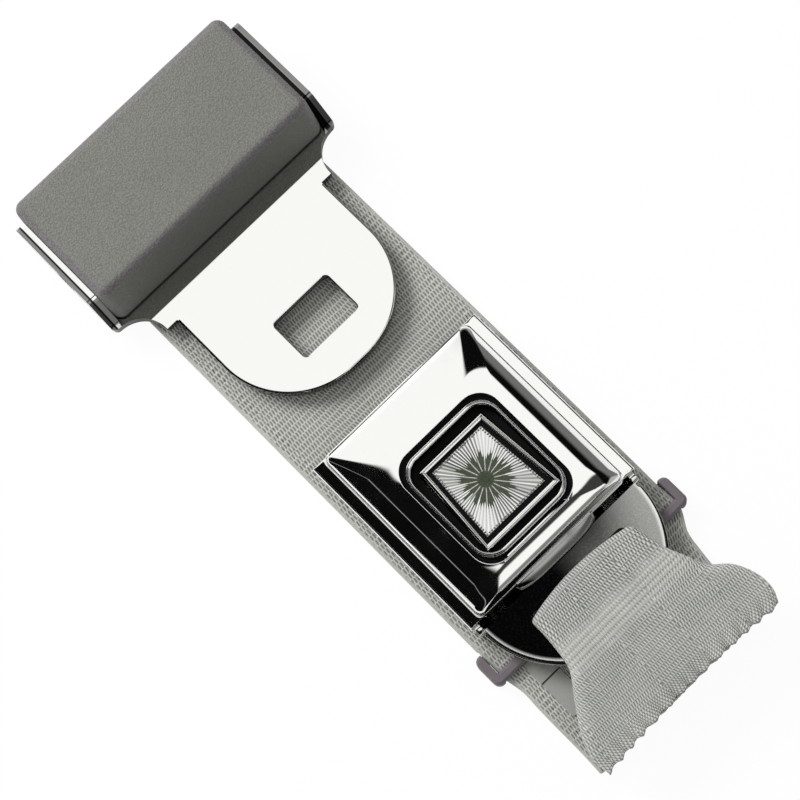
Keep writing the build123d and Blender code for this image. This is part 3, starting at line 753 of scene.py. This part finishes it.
# %% Gather the stub
def place_stub(u, s):
    """Where the stub's point at u across and s along lies."""
    x, z = stub_run(s)
    part = u / (stub_width / 2)
    if s < fold_at:
        half = max(slot_half_width, half_lower(x) - 1.0)
        return (x, part * half, z)
    # past the fold the edges turn down by degrees
    half = half_upper(x) if u > 0 else half_lower(x)
    grow = min(1.0, (s - fold_at) / 5.0)
    radius, angle = lip_radius(x), lip_angle(x) * grow
    level = half - radius * math.sin(min(angle, math.pi / 2))
    along = abs(part) * (level + radius * angle)
    y, drop = along, 0.0
    if along > level:
        turned = (along - level) / radius
        y, drop = level + radius * math.sin(turned), radius * (1 - math.cos(turned))
    drop += grow * crown(x) * (min(along, level) / (stub_width / 2)) ** 2
    # the cut end is ruffled, and its middle stands back
    end = max(0.0, (x - end_x) / end_length)
    ruffle = end * end * math.sin(u * 1.75 + 0.9 * math.sin(u * 0.37))
    bow = 2.9 * (y / 13.4) ** 2 * max(0.0, 1 - (s - fold_at) / 12.0) * grow
    x += bow + 0.32 * ruffle - 1.1 * end * (1 - part**2)
    return (x, math.copysign(y, u), z - drop + 0.4 * ruffle)


stub = webbing(
    "webbing_stub", stub_width, stub_length, place_stub, stub_cloth, "buckle", "stub_upper", "stub_lower",
    rows=110, columns=72,
)

# %% [markdown]
# ## The chromed cover
#
# The cover is one pressing: a pillow that swells from a sharp crease up to the push button's recess, a rolled
# bead round the recess, a deep well, and two flat rails whose sides fold down over the frame. A pressing like
# this is a stack of outlines. Each outline is a rectangle whose corners are rounded by a vertex bevel, and
# neighbouring outlines are bridged, so the same number of points runs through the whole skin.


# %% Outlines and skins
corner_steps = 10


def outline(bm, spots, corner, z):
    """A closed run of edges through the spots, in millimetres, with its corners rounded."""
    verts = [bm.verts.new((x / 1000, y / 1000, z / 1000)) for x, y in spots]
    face = bm.faces.new(verts)
    if corner:
        bmesh.ops.bevel(
            bm, geom=verts, offset=corner / 1000, offset_type="OFFSET", segments=corner_steps,
            profile=0.5, affect="VERTICES", material=-1,
        )
        face = next(f for f in bm.faces if len(f.verts) > 4)
    edges = list(face.edges)
    bmesh.ops.delete(bm, geom=[face], context="FACES_ONLY")
    return edges


def oblong(x0, x1, half_front, half_rear=None):
    """The corners of a rectangle or a trapezoid."""
    half_rear = half_front if half_rear is None else half_rear
    return [(x0, -half_front), (x1, -half_rear), (x1, half_rear), (x0, half_front)]


def skin(bm, rings):
    """Bridge each outline to the next. Each ring is (spots, corner, z) and perhaps the number of its finish.

    Two neighbouring rings are never at the same height, because a flat pair can be bridged with a twist.
    """
    below = outline(bm, *rings[0])
    for spots, corner, level, *finish_number in rings[1:]:
        above = outline(bm, spots, corner, level)
        for face in bmesh.ops.bridge_loops(bm, edges=below + above)["faces"]:
            face.material_index = finish_number[0] if finish_number else 0
        below = above
    return below


# %% [markdown]
# The numbers below are the cover's profile, read from the mouth upwards. A crease stays sharp where several
# outlines lie close together, and the slope is smooth because its steps follow power curves. The curves
# differ at the front, the sides and the rear, which gives the pillow its long, bent reflections.

# %% The cover's sizes, in millimetres
cover_front, cover_rear, cover_side = -26.7, 18.42, 22.6
mouth_z, rail_z, rail_roll = 6.2, 8.8, 0.62
slope_z, slope_rise, slope_steps = 11.35, 3.23, 22
recess_front, recess_rear, recess_half, recess_corner = -14.45, 14.27, 12.6, 5.0
well_inset = 1.7
# each step from the rail up to the slope: inset at the ends, half width, corner and height
CREASE = (
    (0.22, 21.6, 0.5, 9.44), (0.26, 20.5, 0.8, 9.60), (0.30, 20.05, 1.3, 9.66), (0.32, 19.95, 1.4, 9.65),
    (0.36, 19.88, 1.5, 9.55), (0.40, 19.82, 1.6, 9.57), (0.44, 19.76, 1.6, 10.2), (0.50, 19.68, 1.65, 10.9),
    (0.60, 19.57, 1.7, 11.3),
)
# each step over the rolled bead and down the well: inset, height, and 1 where it is black as painted shade
BEAD = (
    (0.08, 14.50, 1), (0.22, 14.0, 1), (0.45, 13.74, 1), (0.70, 13.76, 1), (0.80, 14.0, 1), (0.86, 14.35, 0),
    (0.94, 14.5, 0), (1.01, 14.52, 0), (1.06, 14.5, 1), (1.12, 14.75, 0), (1.20, 14.98, 0), (1.32, 15.08, 0),
    (1.44, 15.1, 0), (1.54, 15.04, 0), (1.63, 14.82, 0), (1.69, 14.4, 1), (1.70, 13.9, 1), (1.70, 11.2, 1),
)


# %% Stack the cover's outlines
def slope_ring(k):
    """Step k of the slope: even at the front, fuller at the sides, and at the rear level before it drops."""
    reach = np.linspace(0.0, 1.0, 101)
    left = (1 - k / slope_steps) ** 1.9
    at_side = np.interp(left, 0.13 * reach + 0.87 * reach**3, reach)
    at_rear = np.interp(left, 0.10 * reach + 0.27 * reach**2 + 0.63 * reach**14, reach)
    out = 0.12 if k == slope_steps else 0.0
    front = cover_front + 0.65 - out + (1 - left**0.5) * 11.6
    rear = cover_rear - 0.3 + out - (1 - at_rear) * 3.85
    half = 19.5 + out - (1 - at_side) * 6.9
    return oblong(front, rear, half), 1.7 + (1 - left**0.5) * 3.3, slope_z + slope_rise * (1 - left)


def cover_rings():
    """Every outline of the cover, from its mouth over the slope to the floor of the well."""
    sharp = 0.25
    mouth = oblong(cover_front, cover_rear, cover_side)
    rings = [(mouth, sharp, mouth_z), (mouth, sharp, rail_z)]
    for k in range(1, 6):
        angle = math.radians(16.6 * k)
        inset = rail_roll * (1 - math.cos(angle))
        spots = oblong(cover_front + 0.3 * inset, cover_rear - 0.3 * inset, cover_side - inset)
        rings.append((spots, sharp + 0.3 * inset, rail_z + rail_roll * math.sin(angle)))
    for inset, half, corner, level in CREASE:
        rings.append((oblong(cover_front + inset, cover_rear - 0.4 * inset, half), corner, level))
    rings += [slope_ring(k) for k in range(1, slope_steps + 1)]
    rings.append((oblong(recess_front, recess_rear, recess_half), recess_corner, 14.585))
    for inset, level, dark in BEAD:
        share = inset / well_inset
        spots = oblong(recess_front + 2.35 * share, recess_rear - 2.1 * share, recess_half - inset)
        rings.append((spots, recess_corner - share, level, dark))
    return rings


# %% Press the cover
def press_cover():
    """Bridge the outlines, open the two ends and give the sheet its gauge."""
    bm = bmesh.new()
    skin(bm, cover_rings())
    # the mouth and the tail end are open below the lip
    open_ends = []
    for face in bm.faces:
        middle = face.calc_center_median()
        if abs(face.normal.x) > 0.9 and middle.z < 0.0088 and abs(middle.y) < 0.0223:
            open_ends.append(face)
    bmesh.ops.delete(bm, geom=open_ends, context="FACES")
    cover = piece(bm, "cover", cover_chrome, "buckle", "cover_shell", slot="cover_steel")
    # the groove round the bead and the well's walls take the black finish, as painted shade
    cover.data.materials.append(guide_plastic_and_painted_shade)
    wall = cover.modifiers.new("gauge", "SOLIDIFY")
    wall.thickness, wall.offset = 0.00055, -1.0


press_cover()


# %% [markdown]
# A short lip is rolled down from the middle of the cover's rear edge, where the webbing leaves the buckle. A
# grid is the quickest start for such a curved tongue of sheet, and Solidify gives it its gauge.

# %% Roll the lip under the cover's rear edge, in millimetres
lip_x, lip_z, lip_half = 18.1, 9.5, 10.6


def rear_lip():
    """Bend a grid down and outwards, with its corners drawn in."""
    bm = bmesh.new()
    bmesh.ops.create_grid(bm, x_segments=12, y_segments=30, size=0.5)
    for vert in bm.verts:
        t, part = vert.co.x + 0.5, vert.co.y * 2
        reach = 2.7 - 1.1 * abs(part) ** 4
        slope = 0.5 * t + 0.85 * t**2
        vert.co = Vector((lip_x + reach * t, part * lip_half, lip_z - slope)) / 1000
    lip = piece(bm, "rear_lip", lip_chrome, "buckle", slot="cover_steel")
    wall = lip.modifiers.new("gauge", "SOLIDIFY")
    wall.thickness, wall.offset = 0.00045, -1.0


rear_lip()

# %% [markdown]
# ## The push button
#
# The button is a little wider at the tail end. Its rim is two rolled ridges with a dark line between them,
# and a black channel parts it from the insert; the line and the channel are painted black as shade. The
# insert is a stamped sunburst: thin bright rays that start at a dull core and run out to a border of small
# beads. The rays are drawn by the angle round the middle, with a slight relief, and two opposite quarters of
# them are darkened as a painted reflection.


# %% The stamped sunburst
ray_count = 72.0
burst_x, burst_y = 0.1, -0.12     # its middle, in millimetres


def sunburst():
    """Rays between grooves, with a green core of ragged outline."""
    material, wire, shader = finish("sunburst", (0.9, 0.9, 0.9), 0.12, 1.0)
    coordinates, (x, y, _) = axes(wire)
    east, north = x - burst_x, y - burst_y
    radius = distance(east, north)
    angle = wire.maths("ARCTAN2", north, east)
    turn = angle * (ray_count / FULL_TURN) + 0.25
    ridge = 0.5 + 0.5 * wire.maths("COSINE", turn * FULL_TURN)
    number = wire.maths("FLOOR", turn + 0.5)
    chance = wire.node("ShaderNodeTexWhiteNoise", {"noise_dimensions": "1D"}, {"W": number})
    quarter = wire.maths("SINE", angle * 2.0 + 0.1)
    straight = abs(wire.maths("COSINE", angle * 2.0))
    # a long thin ray at every fourth ridge
    fourth = abs(wire.maths("FRACT", turn / 4.0 + 0.5) - 0.5)
    long_ray = fade(fourth * radius * (4.0 * FULL_TURN / ray_count), 0.05, 0.13) * ease(radius, 1.5, 2.0)
    reach = 2.9 + fourth * 2.6 + chance * 2.0 + (1.0 - ridge) * 0.9
    core = fade(radius - reach, -0.15, 0.2)
    groove = (1.0 - ridge) ** 1.25
    # painted reflection: the dark groove lines are drawn stronger at some angles round the middle
    lines = groove * ease(straight, 0.15, 0.7) * (0.8 + 0.2 * chance)
    lines = larger(lines, groove * ease(quarter, 0.3, 0.9) * 0.6)
    lines = larger(lines, groove * 0.3)
    # painted reflection: two opposite quarters of the rays are darkened
    painted_reflection_veil = ease(quarter, 0.3, 0.95) * (0.25 + chance * 0.4)
    silver = blend(painted_reflection_veil, (0.88, 0.88, 0.87), (0.36, 0.36, 0.345))
    silver = blend(lines, silver, (0.02, 0.02, 0.02))
    green = blend(noise(coordinates, 0.6, 2.0), (0.085, 0.105, 0.07), (0.16, 0.19, 0.13))
    face = blend(long_ray, blend(core, silver, green), (0.92, 0.92, 0.91))
    plug(face, shader, "Base Color")
    plug(0.1 + core * 0.25, shader, "Roughness")
    relief(ridge * (1.0 - core * 0.7), 0.012, shader)
    return material


burst_metal = sunburst()
print("insert finish:", burst_metal.name, "with", int(ray_count), "rays")


# %% [markdown]
# The rim is a stack of outlines too, with sharp corners. Its faces stay flat, and a very small bevel catches
# the light along each fold. The beads round the insert are many, so each is a sphere of only a few faces.

# %% The button's rim, in millimetres
# each step from the skirt over both ridges and into the channel: inset, height, and 1 where it is black as
# painted shade
RIM = (
    (0.0, 13.9), (0.08, 14.12), (0.22, 14.22), (0.36, 14.16), (0.46, 13.98), (0.54, 13.975, 1), (0.62, 14.2),
    (0.74, 14.42), (0.92, 14.48), (1.08, 14.40), (1.18, 14.15), (1.22, 13.3, 1), (2.6, 13.295, 1),
)
skirt_z, channel_z, insert_z = 11.2, 13.3, 14.2


def button_ring(inset):
    """The button's outline, moved in by inset."""
    return oblong(-10.15 + inset, 10.7 - inset, 8.6 - inset, 10.05 - inset)


def press_rim():
    """Bridge the rim's outlines, with the groove and the channel in black as painted shade."""
    bm = bmesh.new()
    rings = [(button_ring(0.0), 0, skirt_z)]
    for inset, level, *dark in RIM:
        rings.append((button_ring(inset), 0, level, *dark))
    skin(bm, rings)
    rim = piece(bm, "button_rim", button_chrome, "button", "button_frame", slot="cover_steel", smooth=False)
    # the rim's groove and channel take the black finish, as painted shade
    rim.data.materials.append(guide_plastic_and_painted_shade)
    soft = rim.modifiers.new("soft", "BEVEL")
    soft.width, soft.segments = 0.00005, 1


press_rim()


# %% Its insert and the border of beads, in millimetres
bead_radius, bead_pitch, bead_inset = 0.24, 0.62, 0.33


def insert_ring(inset):
    """The insert's outline, moved in by inset."""
    return oblong(-8.25 + inset, 8.5 - inset, 6.7 - inset, 7.9 - inset)


def stamp_insert():
    """A flat plate with a small chamfer."""
    bm = bmesh.new()
    side = insert_ring(0.0)
    last = skin(bm, [(side, 0, channel_z), (side, 0, 14.12), (insert_ring(0.1), 0, insert_z)])
    bmesh.ops.edgeloop_fill(bm, edges=last)
    piece(
        bm, "button_insert_plate", burst_metal, "button", "button_insert", slot="insert_metal", smooth=False
    )


def string_beads():
    """Spheres at even steps along the insert's four sides."""
    bm = bmesh.new()
    corners = [Vector(spot) for spot in insert_ring(bead_inset)]
    for start, end in zip(corners, corners[1:] + corners[:1]):
        count = round((end - start).length / bead_pitch)
        for k in range(count):
            spot = start.lerp(end, k / count).to_3d()
            spot.z = insert_z
            bmesh.ops.create_uvsphere(
                bm, u_segments=8, v_segments=5, radius=bead_radius / 1000,
                matrix=Matrix.Translation(spot / 1000),
            )
    piece(bm, "insert_beads", button_chrome, "button", slot="insert_metal")


stamp_insert()
string_beads()

# %% [markdown]
# ## The studio
#
# Chrome is lit by what surrounds it. A long white ceiling over the belt gives the flat faces their even
# white, and dark walls along both sides give the slopes their black. Cloth and plastic only need an even,
# plain light, so the room is shown to mirror rays alone, and the rest gets a plain sky and one soft lamp.


# %% The room that the mirrors see
def mirrored_room(x, y, z):
    """How bright the room is in a direction, from the direction's three parts."""
    forward = larger(-0.29 - x, 0.0)
    far_edge = larger(0.56 - forward * 2.4, 0.17)
    ceiling = ease(y + forward * 0.5, -0.03, 0.02) * fade(y - far_edge, -0.03, 0.03) * ease(z, 0.02, 0.12)
    rear_end = ease(x, 0.60, 0.78)
    gap = ease(x, 0.0, 0.05) * fade(x - larger(y, 0.0) * 0.6, 0.16, 0.24)
    ceiling = ceiling * (1.0 - rear_end * 0.78) * (1.0 - gap * 0.96)
    far_wall = ease(y, 0.78, 0.93) * ease(x, -0.75, -0.4) * 0.16
    near_line = fade(abs(y + 0.62), 0.0, 0.03) * 0.35
    ends = ease(-x, 0.35, 0.6) * ease(y, -0.5, -0.3) + ease(x, 0.35, 0.55) * ease(y, 0.3, 0.5)
    ends = ends * fade(z, 0.28, 0.45) * 0.45
    return ceiling + far_wall + near_line + ends + 0.003


# %% The world
def studio():
    """White to the camera, the room to mirrors and a plain sky to everything else."""
    world = bpy.data.worlds.new("studio")
    bpy.context.scene.world = world
    world.use_nodes = True
    tree = world.node_tree
    tree.nodes.clear()
    wire = Wire(tree)
    way = wire.node("ShaderNodeTexCoord", output="Generated")
    x, y, z = [wire.node("ShaderNodeSeparateXYZ", inputs={0: way}, output=k) for k in range(3)]
    camera_ray = wire.node("ShaderNodeLightPath", output="Is Camera Ray")
    glossy_ray = wire.node("ShaderNodeLightPath", output="Is Glossy Ray")
    sky = 0.45 + 0.22 * ease(z, -0.2, 1.0) - 0.14 * ease(x * 0.7 + y * 0.7, -0.4, 0.8)
    level = sky * (1.0 - glossy_ray) + mirrored_room(x, y, z) * glossy_ray
    level = level * (1.0 - camera_ray) + camera_ray
    sockets = {"Color": (1.0, 1.0, 0.985, 1.0), "Strength": level}
    background = wire.node("ShaderNodeBackground", inputs=sockets)
    output = tree.nodes.new("ShaderNodeOutputWorld")
    tree.links.new(background.socket, output.inputs["Surface"])
    print("world nodes:", len(tree.nodes))


studio()

# %% The key lamp
lamp_data = bpy.data.lights.new("key", "AREA")
lamp_data.shape = "RECTANGLE"
lamp_data.size, lamp_data.size_y = 0.34, 0.3
lamp_data.energy = 5.0
lamp = bpy.data.objects.new("key", lamp_data)
bpy.context.scene.collection.objects.link(lamp)
lamp.location = (-0.58, -0.14, 0.50)
towards = Vector((-0.02, 0.0, 0.0)) - lamp.location
lamp.rotation_euler = towards.to_track_quat("-Z", "Y").to_euler()
lamp.visible_glossy = False
print("key lamp:", lamp_data.energy, "W")


# %% [markdown]
# The belt lies on a white table. Most of what the camera sees of it is plain white emission, so it stays
# white without more light, and the rest is a matte surface that takes the object's soft shadow.

# %% The white table
table_z = -0.0004     # just clear of the strap, in metres


def table():
    """A large plane under the belt."""
    bm = bmesh.new()
    bmesh.ops.create_grid(
        bm, x_segments=1, y_segments=1, size=1.2, matrix=Matrix.Translation((0, 0, table_z))
    )
    mesh = bpy.data.meshes.new("table")
    bm.to_mesh(mesh)
    bm.free()
    top = bpy.data.objects.new("table", mesh)
    bpy.context.scene.collection.objects.link(top)
    material, wire, shader = finish("table_white", (0.92, 0.92, 0.92), 0.9)
    tree = material.node_tree
    seen = wire.node("ShaderNodeLightPath", output="Is Camera Ray") * 0.95
    white = wire.node("ShaderNodeEmission", inputs={"Color": (1.0, 1.0, 1.0, 1.0), "Strength": 1.0})
    mixed = wire.node("ShaderNodeMixShader", inputs={0: seen, 1: Wire(tree, shader.outputs[0]), 2: white})
    tree.links.new(mixed.socket, tree.nodes["Material Output"].inputs["Surface"])
    mesh.materials.append(material)


table()
print("table at", table_z * 1000, "mm")
